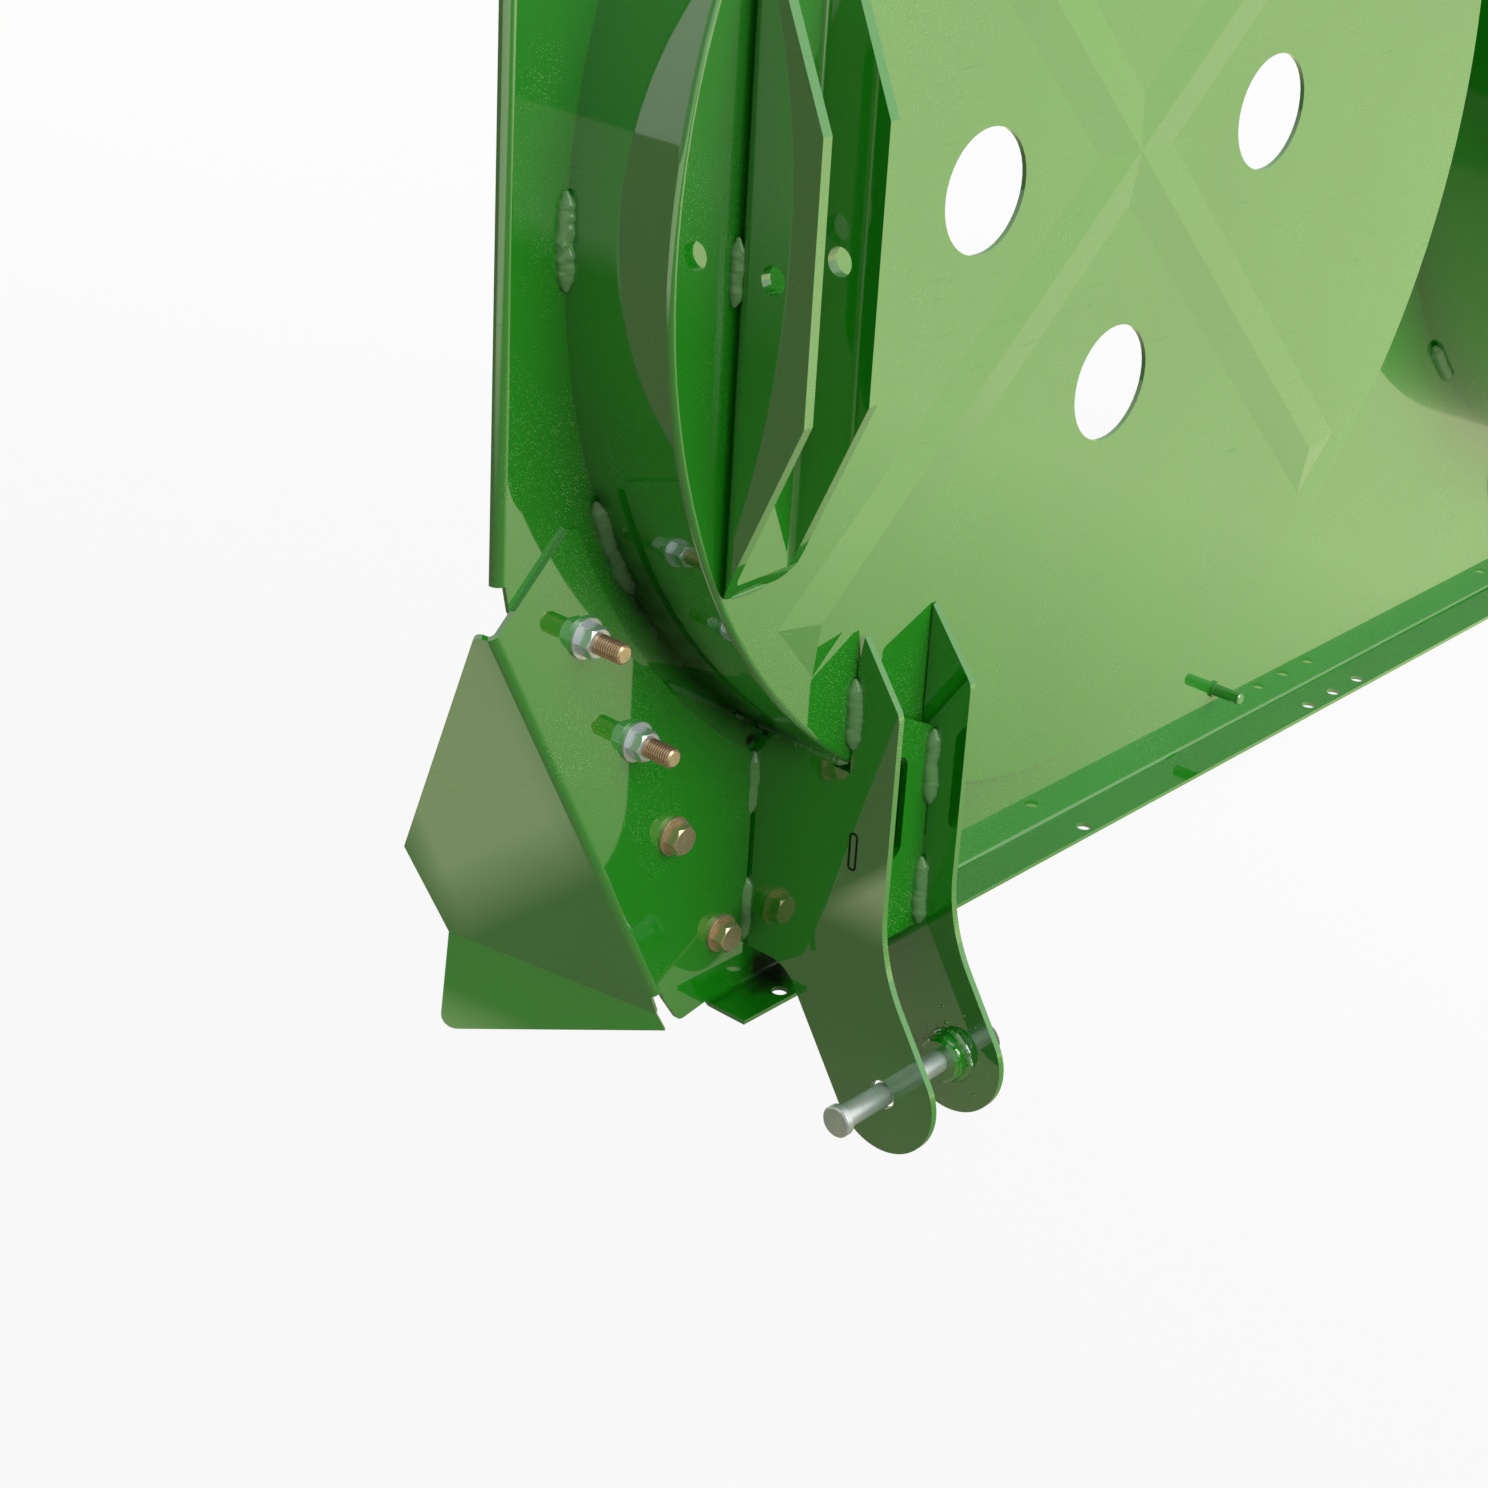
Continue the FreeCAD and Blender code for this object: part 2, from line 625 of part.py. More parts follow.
def flange_bolts():
    tip = SHEET + SHORT_BOLT_OUT
    bolts = []
    for spot in BOLT_SPOTS:
        x, z = off_rim(*spot)
        head = flanged(x, z, -WING_SHEET, -1, HEAD_H)
        shank = rod_y(THREAD_R, x, z, -WING_SHEET, tip)
        shank = shank.makeChamfer(THREAD_CHAMFER, [e for e in shank.Edges
                                                   if e.BoundBox.YMin > tip - 0.1])
        bolt = head.fuse(shank).removeSplitter()
        bolts += [bolt, mirrored(bolt)]
    return Part.makeCompound(bolts)


def nuts(spots, seat_y, away):
    """Flange nuts on a seat at the given spots and at their mirror images."""
    bore_r = THREAD_R + NUT_PLAY
    made = []
    for spot in spots:
        x, z = off_rim(*spot)
        reach = NUT_H + CUT_OVER
        nut = flanged(x, z, seat_y, away, NUT_H)
        nut = nut.cut(rod_y(bore_r, x, z, seat_y - reach, seat_y + reach))
        made += [nut, mirrored(nut)]
    return Part.makeCompound(made)


def weld_stud():
    foot = rod_y(STUD_FOOT_R, STUD_X, STUD_Z, -STUD_FOOT_T, 0)
    shank = rod_y(STUD_R, STUD_X, STUD_Z, -STUD_L, -STUD_FOOT_T)
    shank = shank.makeChamfer(STUD_CHAMFER, [e for e in shank.Edges
                                             if e.BoundBox.YMax < 0.1 - STUD_L])
    return foot.fuse(shank).removeSplitter()


def save(node, shape):
    placed = shape.translated(V(0, -EAR_HOLE_Y, -EAR_HOLE_Z))
    placed.exportStep("parts/" + node + ".step")


def main():
    os.makedirs("parts", exist_ok=True)
    handed = {
        "pan": pan(),
        "upper_bracket": upper_bracket(),
        "lower_arm_outer": arm(ARM_OUTER_X, TIP_LIFT),
        "lower_arm_inner": arm(ARM_INNER_X),
        "lower_web": web(),
        "pin_collar": collar(),
        "clevis_pin": clevis_pin(),
        "retaining_ring": retaining_ring(),
        "deflector_wing": deflector_wing(),
    }
    for name, shape in handed.items():
        save(name + "_left", shape)
        save(name + "_right", mirrored(shape))
    save("rear_panel", rear_panel())
    save("long_bolts", long_bolts())
    save("front_nuts", nuts(NUT_SPOTS, -WING_SHEET, -1))
    save("flange_bolts", flange_bolts())
    save("rear_nuts", nuts(BOLT_SPOTS, SHEET, 1))
    save("weld_stud", weld_stud())


main()
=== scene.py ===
import math
import random

import bpy
from mathutils import Matrix, Vector


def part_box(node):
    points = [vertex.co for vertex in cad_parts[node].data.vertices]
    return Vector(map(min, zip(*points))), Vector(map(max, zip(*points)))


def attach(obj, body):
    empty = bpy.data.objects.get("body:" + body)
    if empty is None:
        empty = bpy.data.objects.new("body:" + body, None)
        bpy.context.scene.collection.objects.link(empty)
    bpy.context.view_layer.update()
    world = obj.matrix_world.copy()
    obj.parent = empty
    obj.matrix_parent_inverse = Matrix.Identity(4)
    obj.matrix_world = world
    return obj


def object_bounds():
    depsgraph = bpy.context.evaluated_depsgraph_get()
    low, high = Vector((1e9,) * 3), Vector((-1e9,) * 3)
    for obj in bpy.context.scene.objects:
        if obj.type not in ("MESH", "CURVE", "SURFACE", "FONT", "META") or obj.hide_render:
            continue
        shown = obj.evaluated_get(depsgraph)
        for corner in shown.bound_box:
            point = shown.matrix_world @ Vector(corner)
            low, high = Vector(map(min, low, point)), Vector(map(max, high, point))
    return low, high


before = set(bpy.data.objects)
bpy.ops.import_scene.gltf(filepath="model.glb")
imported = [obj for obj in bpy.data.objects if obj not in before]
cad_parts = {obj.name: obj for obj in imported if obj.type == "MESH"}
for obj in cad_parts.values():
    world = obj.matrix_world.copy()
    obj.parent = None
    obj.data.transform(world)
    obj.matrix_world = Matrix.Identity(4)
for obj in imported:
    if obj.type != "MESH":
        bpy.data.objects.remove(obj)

bl_info = {
    "name": "Deflector housing looks",
    "version": (1, 0, 0),
    "blender": (4, 5, 0),
    "location": "3D View > Sidebar > Housing",
    "description": "Paint, plating, welds, threads and a plain studio for a deflector housing",
    "category": "Object",
}

MM = 0.001
PHOTO_WIDTH = 1488
CAD_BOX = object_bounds()

PAINTED = ("pan", "upper_bracket", "lower_arm_outer", "lower_arm_inner", "lower_web",
           "pin_collar", "deflector_wing")
SIDES = ("left", "right")

# Where the soft lights stand, seen from the housing
KEY_FROM = (0.12, -0.88, 0.46)
SCREEN_FROM = (0.50, -0.75, 0.43)
BACK_FROM = (0.1, 0.9, 0.45)

# The web's tabs: height over the web's lower edge, length and play in their slots
TAB_RISE = 0.0645
TAB_LENGTH = 0.0205
TAB_PLAY = 0.0005

# Half the thickness of the dark line of painted shade round a tab
GAP_SHADE_RADIUS = 0.0006

# Bare M10 threads: radius at the ridge and at the root, plain end, and steps in a turn
THREAD_CREST = 0.00546
THREAD_ROOT = 0.00499
THREAD_END = 0.0012
THREAD_STEPS = 24

# Bolts of one node stand further apart than this
BOLTS_APART = 0.03

# How far beads and burnt marks reach into the sheets that carry them
SINK = 1.2 * MM

# How far a bead at a rim may reach inside it before it is pressed back
RIM_BAND = 6 * MM

# How far the beads lie out of their corners: at a rim, and at an upright sheet
RIM_LIFT = 0.0016
SIDE_LIFT = 0.0015
FRONT_LIFT = -0.0018

# Ripples of a bead: length, half width and height, as shares of the bead's width
RIPPLE_LENGTH = 0.42
RIPPLE_WIDTH = 0.5
RIPPLE_HEIGHT = 0.34

# Unevenness of a bead, as shares of its width: chance and slow waves
CHANCE_SWELL = 0.08
CHANCE_SWAY = 0.05
WAVE_SWELL = 0.06
WAVE_SWAY = 0.05
WAVE_SHAKE = 0.03

# Ends of a bead: how thin it starts, and how much each ripple adds
TAPER_START = 0.55
TAPER_STEP = 0.25

BEAD_VOXEL = 0.0006
COLLAR_BEAD = 0.0075
NOTCH_SEAM = 0.0058
SPATTER_DROPS = 26

# Rounding that the paint and plating show on sharp edges
EDGE_RADIUS = 0.0005

# Burnt weld marks and painted shade: place on the right half, reach, softness and depth
# The two widest spots, low by the shelf, are painted shade in the corner under the arm's foot
SOOT_AND_SHADE = (((0.577, 0.088, -0.294), 0.005, 0.6, 0.97), ((0.576, 0.081, -0.288), 0.005, 0.6, 0.97),
        ((0.575, 0.075, -0.282), 0.004, 0.6, 0.95), ((0.585, 0.086, -0.281), 0.007, 0.9, 0.7),
        ((0.600, 0.074, -0.266), 0.0028, 0.6, 0.8), ((0.553, 0.086, -0.440), 0.030, 0.7, 0.97),
        ((0.541, 0.070, -0.447), 0.020, 0.9, 0.85), ((0.579, 0.086, -0.402), 0.012, 0.8, 0.5),
        ((0.700, 0.084, -0.125), 0.010, 0.8, 0.5), ((0.690, 0.084, -0.150), 0.008, 0.8, 0.5))

# Painted shade on the panel in the corner beside each pan's rim: where it starts and is full,
# and its edges along each axis
RIM_SHADE_START = 15 * MM
RIM_SHADE_FULL = 1 * MM
RIM_SHADE_EDGES = (("Y", 0.046, 0.066), ("Z", -0.11, -0.17), ("Z", -0.31, -0.29),
               ("X", 0.55, 0.58))

# Colours that no setting changes
WHITE = (1, 1, 1)
# Dark colour of the burnt marks and of the painted shade in corners
SOOT_AND_SHADE_COLOUR = (0.008, 0.010, 0.005)

# The floor: share of white that the camera sees, and how dark its painted shadow of the housing
# is on its dark side
FLOOR_SEEN = 0.93
FLOOR_SHADOW_DEPTH = 0.3
FLOOR_SIZE = 60
FLOOR_GAP = 0.0003

# The floor as glossy paint mirrors it, a glowing painted reflection: painted shadow dark to
# light along X, and two painted pools of light on it, each a colour with its soft edges: axis,
# start and full
FLOOR_SHADOW_FADE = (-0.66, 0.34)
MIRRORED_FLOOR_SHADOW = (0.21, 0.22, 0.14)
MIRRORED_FLOOR_LIT = (1.18, 1.18, 0.72)
MIRRORED_LIGHT_POOLS = (
    ((0.78, 0.80, 0.50), (("X", -0.738, -0.785), ("Y", 0.05, 0.10), ("Y", 0.185, 0.165),
                          ("X", -0.95, -0.90))),
    ((0.80, 0.84, 0.62), (("X", -1.7, -2.1), ("Y", 0.76, 0.64))),
)

# The studio round the housing as paint mirrors it, away from the screens and at them
WALL_DARK = (0.24, 0.30, 0.20)
WALL_LIGHT = (0.82, 0.86, 0.74)

# Strength of the screen behind, and share and narrowness of the key's own glow
BACK_STRENGTH = 0.40
KEY_GLOW = 0.8
KEY_NARROW = 3.0

# Places read from the frame
PAN_LOW, PAN_HIGH = [Vector(corner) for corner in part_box("pan_left")]
EAR_LOW, EAR_HIGH = [Vector(corner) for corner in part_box("upper_bracket_left")]
OUTER_LOW, OUTER_HIGH = [Vector(corner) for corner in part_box("lower_arm_outer_left")]
INNER_LOW, INNER_HIGH = [Vector(corner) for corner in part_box("lower_arm_inner_left")]
WEB_LOW, WEB_HIGH = [Vector(corner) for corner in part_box("lower_web_left")]
COLLAR_LOW, COLLAR_HIGH = [Vector(corner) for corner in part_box("pin_collar_left")]
RIM_CENTRE = (PAN_LOW + PAN_HIGH) / 2
RIM_R = (PAN_HIGH.z - PAN_LOW.z) / 2
PANEL_Y = PAN_HIGH.y
FACE_Y = EAR_HIGH.y

# Upright beads: name, X, Y, top and bottom in mm, the way it faces and its share of the width
UPRIGHT_BEADS = (
    ("weld_arm_face", OUTER_LOW.x, FACE_Y, -239, -272, (-1, -1, 0), 1.0),
    ("weld_arm_panel_upper", OUTER_LOW.x, PANEL_Y, -304, -335, (-1, -1, 0), 1.0),
    ("weld_arm_panel_lower", OUTER_LOW.x, PANEL_Y, -380, -412, (-1, -1, 0), 1.0),
    ("weld_inner_arm_face", INNER_HIGH.x, FACE_Y, -246, -282, (1, -1, 0), 1.0),
    ("weld_inner_arm_panel", INNER_HIGH.x, PANEL_Y, -345, -400, (1, -1, 0), 1.0),
    ("weld_web_inner_upper", INNER_LOW.x, WEB_LOW.y, -283, -320, (-1, -1, 0), 1.0),
    ("weld_web_inner_lower", INNER_LOW.x, WEB_LOW.y, -359, -393, (-1, -1, 0), 1.0),
    ("weld_web_outer_upper", OUTER_HIGH.x, WEB_LOW.y, -262, -300, (1, -1, 0), 1.0),
    ("weld_web_outer_lower", OUTER_HIGH.x, WEB_LOW.y, -350, -390, (1, -1, 0), 1.0),
    ("weld_ear_outer", EAR_LOW.x + 1.5 * MM, FACE_Y, 12, -15, (-1, -0.5, 0), 0.8),
    ("weld_ear_inner", EAR_HIGH.x - 1.5 * MM, FACE_Y, 40, -40, (1, -0.5, 0), 0.8),
)

# Beads at a pan's rim: name, first and last angle in degrees, and share of the width
RIM_BEADS = (("upper", 87.0, 93.5, 1.0), ("middle", 58.8, 67.8, 1.0), ("lower", 36.8, 37.7, 0.5),
             ("inner", -49.0, -43.0, 1.0), ("top", 150.0, 156.0, 1.0),
             ("crown", -156.0, -150.0, 1.0))


def own_settings():
    return bpy.context.scene.housing_settings


class HousingSettings(bpy.types.PropertyGroup):
    """Sizes and colours that can be changed before the pieces are made."""

    paint_colour: bpy.props.FloatVectorProperty(
        name="Paint", description="Colour of the green paint", subtype="COLOR", size=3,
        min=0, max=1, default=(0.008, 0.27, 0.005))
    speck_colour: bpy.props.FloatVectorProperty(
        name="Overspray", description="Colour of the fine overspray specks", subtype="COLOR",
        size=3, min=0, max=1, default=(0.32, 0.60, 0.22))
    weld_colour: bpy.props.FloatVectorProperty(
        name="Painted weld", description="Colour of the paint on the weld beads",
        subtype="COLOR", size=3, min=0, max=1, default=(0.15, 0.36, 0.12))
    zinc_colour: bpy.props.FloatVectorProperty(
        name="Bright zinc", description="Colour of the nuts and pins", subtype="COLOR", size=3,
        min=0, max=1, default=(0.93, 0.96, 1.0))
    yellow_zinc_colour: bpy.props.FloatVectorProperty(
        name="Yellow zinc", description="Colour of the bolts", subtype="COLOR", size=3,
        min=0, max=1, default=(0.84, 0.60, 0.38))
    wire_colour: bpy.props.FloatVectorProperty(
        name="Spring wire", description="Colour of the retaining rings", subtype="COLOR", size=3,
        min=0, max=1, default=(0.12, 0.12, 0.12))
    floor_colour: bpy.props.FloatVectorProperty(
        name="Floor", description="Colour of the studio floor", subtype="COLOR", size=3,
        min=0, max=1, default=(0.90, 0.89, 0.86))
    bead_width: bpy.props.FloatProperty(
        name="Bead width", description="Width of a weld bead", unit="LENGTH", min=0.002,
        max=0.014, default=0.0092)
    ripple_pitch: bpy.props.FloatProperty(
        name="Ripple pitch", description="Distance between the ripples of a bead",
        unit="LENGTH", min=0.0005, max=0.004, default=0.0017)
    thread_pitch: bpy.props.FloatProperty(
        name="Thread pitch", description="Pitch of the M10 threads", unit="LENGTH",
        min=0.0005, max=0.003, default=0.0015)
    ambient: bpy.props.FloatProperty(
        name="Ambient", description="Strength of the soft light from all round", min=0, max=2,
        default=0.11)
    screen_strength: bpy.props.FloatProperty(
        name="Front screen", description="Strength of the wide soft light in front", min=0,
        max=4, default=1.0)
    key_strength: bpy.props.FloatProperty(
        name="Key light", description="Strength of the soft key light", min=0, max=10,
        default=1.3)


# Helpers for materials

def new_group(name, inputs):
    """A node group with a Vector input, named number inputs and one Mask output."""
    tree = bpy.data.node_groups.new(name, "ShaderNodeTree")
    tree.interface.new_socket("Vector", in_out="INPUT", socket_type="NodeSocketVector")
    for label, value in inputs.items():
        item = tree.interface.new_socket(label, in_out="INPUT", socket_type="NodeSocketFloat")
        item.default_value = value
    tree.interface.new_socket("Mask", in_out="OUTPUT", socket_type="NodeSocketFloat")
    start = tree.nodes.new("NodeGroupInput")
    end = tree.nodes.new("NodeGroupOutput")
    return tree, start, end


def feed(tree, socket, value):
    """Links a socket, or sets it to a number or a colour."""
    if isinstance(value, bpy.types.NodeSocket):
        tree.links.new(value, socket)
    elif isinstance(value, (int, float)):
        socket.default_value = value
    else:
        socket.default_value = (*value, 1.0)


def feed_all(tree, node, **inputs):
    """Feeds a node's inputs by name, with an underscore for each space."""
    for label, value in inputs.items():
        feed(tree, node.inputs[label.replace("_", " ")], value)


def add_node(tree, kind, **inputs):
    node = tree.nodes.new(kind)
    feed_all(tree, node, **inputs)
    return node


def add_math(tree, operation, *values, clamp=False):
    node = tree.nodes.new("ShaderNodeMath")
    node.operation = operation
    node.use_clamp = clamp
    for socket, value in zip(node.inputs, values):
        feed(tree, socket, value)
    return node.outputs[0]


def add_vector_math(tree, operation, vector, fixed):
    """Works on a vector with a fixed second one, and returns the node."""
    node = tree.nodes.new("ShaderNodeVectorMath")
    node.operation = operation
    tree.links.new(vector, node.inputs[0])
    node.inputs[1].default_value = fixed
    return node


def add_noise(tree, vector, scale, detail):
    node = add_node(tree, "ShaderNodeTexNoise", Vector=vector, Scale=scale, Detail=detail)
    return node.outputs[0]


def add_range(tree, value, low, high, to_low=0.0, to_high=1.0):
    node = add_node(tree, "ShaderNodeMapRange", Value=value, From_Min=low, From_Max=high,
                    To_Min=to_low, To_Max=to_high)
    return node.outputs["Result"]


def add_edges(tree, axes, edges):
    """A mask that is 1 inside soft edges, each an axis with its start and full."""
    mask = None
    for axis, start, full in edges:
        side = add_range(tree, axes[axis], start, full)
        mask = side if mask is None else add_math(tree, "MULTIPLY", mask, side)
    return mask


def add_mix(tree, factor, first, second):
    node = tree.nodes.new("ShaderNodeMix")
    node.data_type = "RGBA"
    for label, value in (("Factor", factor), ("A", first), ("B", second)):
        feed(tree, next(s for s in node.inputs if s.name == label and s.enabled), value)
    return next(s for s in node.outputs if s.enabled)


def add_group(tree, name, vector, **values):
    node = tree.nodes.new("ShaderNodeGroup")
    node.node_tree = bpy.data.node_groups[name]
    feed_all(tree, node, Vector=vector, **values)
    return node.outputs["Mask"]


def show_mix(tree, share, first, second, output):
    """Ends a tree with a mix of two shaders."""
    mix = tree.nodes.new("ShaderNodeMixShader")
    tree.links.new(share, mix.inputs["Fac"])
    tree.links.new(first.outputs[0], mix.inputs[1])
    tree.links.new(second.outputs[0], mix.inputs[2])
    end = tree.nodes.new(output)
    tree.links.new(mix.outputs[0], end.inputs["Surface"])


def make_groups():
    """Shared effects: orange peel, overspray specks, mottling, scuffs, and burnt marks with
    painted shade in corners.
    """
    tree, start, end = new_group("orange peel", {"Scale": 260.0})
    coarse = add_noise(tree, start.outputs["Vector"], start.outputs["Scale"], 1.0)
    tree.links.new(coarse, end.inputs["Mask"])

    tree, start, end = new_group("overspray", {"Scale": 900.0, "Amount": 0.2})
    cells = add_node(tree, "ShaderNodeTexVoronoi", Vector=start.outputs["Vector"],
                     Scale=start.outputs["Scale"])
    dot = add_range(tree, cells.outputs["Distance"], 0.16, 0.34, 1.0, 0.0)
    pick = add_node(tree, "ShaderNodeSeparateColor", Color=cells.outputs["Color"])
    chosen = add_math(tree, "LESS_THAN", pick.outputs["Red"], start.outputs["Amount"])
    drift = add_noise(tree, start.outputs["Vector"], 14.0, 3.0)
    cloud = add_range(tree, drift, 0.47, 0.68)
    mask = add_math(tree, "MULTIPLY", add_math(tree, "MULTIPLY", dot, chosen), cloud)
    tree.links.new(mask, end.inputs["Mask"])

    tree, start, end = new_group("mottle", {"Scale": 7.0})
    noise = add_noise(tree, start.outputs["Vector"], start.outputs["Scale"], 4.0)
    tree.links.new(add_range(tree, noise, 0.3, 0.7), end.inputs["Mask"])

    tree, start, end = new_group("scuffs", {"Scale": 40.0, "Amount": 0.62})
    turned = tree.nodes.new("ShaderNodeMapping")
    turned.inputs["Rotation"].default_value = (0.5, 0.35, 0.9)
    turned.inputs["Scale"].default_value = (1.0, 1.0, 14.0)
    tree.links.new(start.outputs["Vector"], turned.inputs["Vector"])
    noise = add_noise(tree, turned.outputs["Vector"], start.outputs["Scale"], 3.0)
    over = add_math(tree, "SUBTRACT", noise, start.outputs["Amount"])
    tree.links.new(add_math(tree, "MULTIPLY", over, 9.0, clamp=True), end.inputs["Mask"])

    # Burnt marks and painted shade in corners, as one group
    tree, start, end = new_group("soot_and_shade", {})
    tree.links.new(add_soot_and_shade(tree, start.outputs["Vector"]), end.inputs["Mask"])


def add_soot_and_shade(tree, place):
    """Burnt and greasy marks left by welding, and painted shade in the corners beside the rims
    and under the arms' feet, alike on both halves.
    """
    split = add_node(tree, "ShaderNodeSeparateXYZ", Vector=place)
    axes = {"X": add_math(tree, "ABSOLUTE", split.outputs["X"]), "Y": split.outputs["Y"],
            "Z": split.outputs["Z"]}
    folded = add_node(tree, "ShaderNodeCombineXYZ", **axes).outputs["Vector"]
    ragged = add_noise(tree, place, 95.0, 4.0)
    uneven_shade = add_range(tree, ragged, 0.3, 0.7, 0.55, 0.85)
    level = add_vector_math(tree, "MULTIPLY", folded, (1, 0, 1)).outputs["Vector"]
    hub = (-RIM_CENTRE.x, 0, RIM_CENTRE.z)
    reach = add_vector_math(tree, "DISTANCE", level, hub).outputs["Value"]
    # Painted shade on the panel in the corner beside each rim, uneven in depth
    band = add_math(tree, "MULTIPLY", add_edges(tree, axes, RIM_SHADE_EDGES),
                    add_range(tree, reach, RIM_R + RIM_SHADE_START, RIM_R + RIM_SHADE_FULL))
    total = add_math(tree, "MULTIPLY", band, uneven_shade)
    # Burnt marks, and painted shade under the arm's foot by the shelf
    for spot, size, soft, depth in SOOT_AND_SHADE:
        gap = add_vector_math(tree, "DISTANCE", folded, spot).outputs["Value"]
        uneven = add_math(tree, "MULTIPLY_ADD", ragged, size, gap)
        mark = add_range(tree, uneven, size * 1.5, size * (1.5 - soft), 0.0, depth)
        total = add_math(tree, "MAXIMUM", total, mark)
    front = add_range(tree, axes["Y"], PANEL_Y + SINK, PANEL_Y + SINK / 2)
    outside = add_range(tree, reach, RIM_R - SINK, RIM_R - SINK / 2)
    return add_math(tree, "MULTIPLY", total, add_math(tree, "MULTIPLY", front, outside))


def new_material(name):
    """A new material's tree and shader, and the place on the piece."""
    material = bpy.data.materials.new(name)
    material.use_nodes = True
    tree = material.node_tree
    coords = tree.nodes.new("ShaderNodeTexCoord")
    return tree, tree.nodes["Principled BSDF"], coords.outputs["Object"]


def add_bump(tree, height, distance, strength):
    """Fine relief over edges that look slightly rounded."""
    edge = add_node(tree, "ShaderNodeBevel", Radius=EDGE_RADIUS)
    edge.samples = 4
    bump = add_node(tree, "ShaderNodeBump", Distance=distance, Strength=strength, Height=height,
                    Normal=edge.outputs["Normal"])
    return bump.outputs["Normal"]


def paint_material(name, colour, specks, peel, coat=1.0, base_roughness=0.3):
    """Glossy machine paint: clear reflections, orange peel and overspray specks."""
    tree, shader, place = new_material(name)
    tone = add_group(tree, "mottle", place, Scale=6.0)
    darker = [channel * 0.88 for channel in colour]
    base = add_mix(tree, tone, darker, colour)
    dots = add_group(tree, "overspray", place, Scale=1000.0, Amount=specks)
    scuffs = add_group(tree, "scuffs", place, Scale=34.0, Amount=0.66)
    # Burnt marks and painted shade in corners: darker paint with a duller coat
    soot_and_shade = add_group(tree, "soot_and_shade", place)
    height = add_group(tree, "orange peel", place, Scale=230.0)
    surface = tree.nodes.new("ShaderNodeNewGeometry")
    facing = add_node(tree, "ShaderNodeSeparateXYZ", Vector=surface.outputs["Normal"])
    upward = add_range(tree, facing.outputs["Z"], 0.2, 0.8)
    forward = add_range(tree, facing.outputs["Y"], -0.75, -0.95)
    dust = add_math(tree, "MULTIPLY", dots, add_math(tree, "MAXIMUM", upward, forward))
    dusty = add_mix(tree, dust, base, own_settings().speck_colour)
    worn_and_shaded = add_math(tree, "MAXIMUM", dust, add_math(tree, "MULTIPLY", scuffs, 0.25))
    worn_and_shaded = add_math(tree, "MAXIMUM", worn_and_shaded, soot_and_shade)
    feed_all(tree, shader, Base_Color=add_mix(tree, soot_and_shade, dusty, SOOT_AND_SHADE_COLOUR),
             Roughness=add_range(tree, worn_and_shaded, 0.0, 1.0, base_roughness, 0.6),
             Coat_Weight=add_range(tree, worn_and_shaded, 0.0, 1.0, coat, 0.15 * coat),
             Coat_Roughness=0.035, Coat_IOR=2.7, IOR=1.45, Specular_IOR_Level=0.05,
             Normal=add_bump(tree, height, 0.0004, peel))


def plating_material(name, colour, tint, roughness, grain, metallic=1.0):
    """Plated or bare metal with cloudy tint and fine grain."""
    tree, shader, place = new_material(name)
    cloud = add_group(tree, "mottle", place, Scale=120.0)
    height = add_group(tree, "orange peel", place, Scale=900.0)
    feed_all(tree, shader, Metallic=metallic, Base_Color=add_mix(tree, cloud, colour, tint),
             Roughness=add_range(tree, cloud, 0.0, 1.0, roughness, roughness + 0.06),
             Normal=add_bump(tree, height, 0.0002, grain))


def gap_shade_material(name):
    """Dull dark painted shade that fills a narrow gap."""
    tree, shader, place = new_material(name)
    grains = add_group(tree, "mottle", place, Scale=300.0)
    tone = add_mix(tree, grains, (0.004, 0.010, 0.003), (0.02, 0.035, 0.012))
    feed_all(tree, shader, Base_Color=tone, Roughness=0.9, Specular_IOR_Level=0.1)


def thread_material(name, crest_highlight, root_shade):
    """Plated thread, with painted highlight on its crests and painted shade in its roots."""
    tree, shader, place = new_material(name)
    crest = tree.nodes.new("ShaderNodeAttribute")
    crest.attribute_name = "crest"
    cloud = add_group(tree, "mottle", place, Scale=160.0)
    worn_and_shaded = add_range(tree, cloud, 0.0, 1.0, 0.75, 1.0)
    share = add_math(tree, "MULTIPLY", crest.outputs["Fac"], worn_and_shaded)
    feed_all(tree, shader, Base_Color=add_mix(tree, share, root_shade, crest_highlight),
             Metallic=0.85, Roughness=0.32)


def make_materials():
    settings = own_settings()
    paint = tuple(settings.paint_colour)
    zinc = tuple(settings.zinc_colour)
    yellow = tuple(settings.yellow_zinc_colour)
    paint_material("green paint", paint, specks=0.5, peel=0.008)
    paint_material("green paint on edges", paint, specks=0.75, peel=0.010)
    paint_material("painted weld", tuple(settings.weld_colour), specks=0.8, peel=0.4, coat=0.2,
                   base_roughness=0.55)
    plating_material("bright zinc", zinc, (0.76, 0.80, 0.85), 0.27, 0.0, metallic=0.8)
    plating_material("yellow zinc", yellow, (0.62, 0.50, 0.34), 0.24, 0.04, metallic=0.8)
    # Dark painted shade for the gaps round the web tabs
    gap_shade_material("packed dirt")
    # Painted highlight on the thread crests and painted shade in the roots
    thread_material("copper thread", (1.0, 0.68, 0.50), (0.28, 0.12, 0.06))
    plating_material("spring wire", tuple(settings.wire_colour), (0.2, 0.19, 0.18), 0.35, 0.2)


# Helpers for pieces

def deselect():
    bpy.ops.object.select_all(action="DESELECT")


def make_active(piece):
    deselect()
    piece.select_set(True)
    bpy.context.view_layer.objects.active = piece


def join(pieces):
    deselect()
    for piece in pieces:
        piece.select_set(True)
    bpy.context.view_layer.objects.active = pieces[0]
    bpy.ops.object.join()
    return bpy.context.object


def apply_modifier(piece, kind, **values):
    make_active(piece)
    modifier = piece.modifiers.new(kind.title(), kind)
    for label, value in values.items():
        setattr(modifier, label, value)
    bpy.ops.object.modifier_apply(modifier=modifier.name)


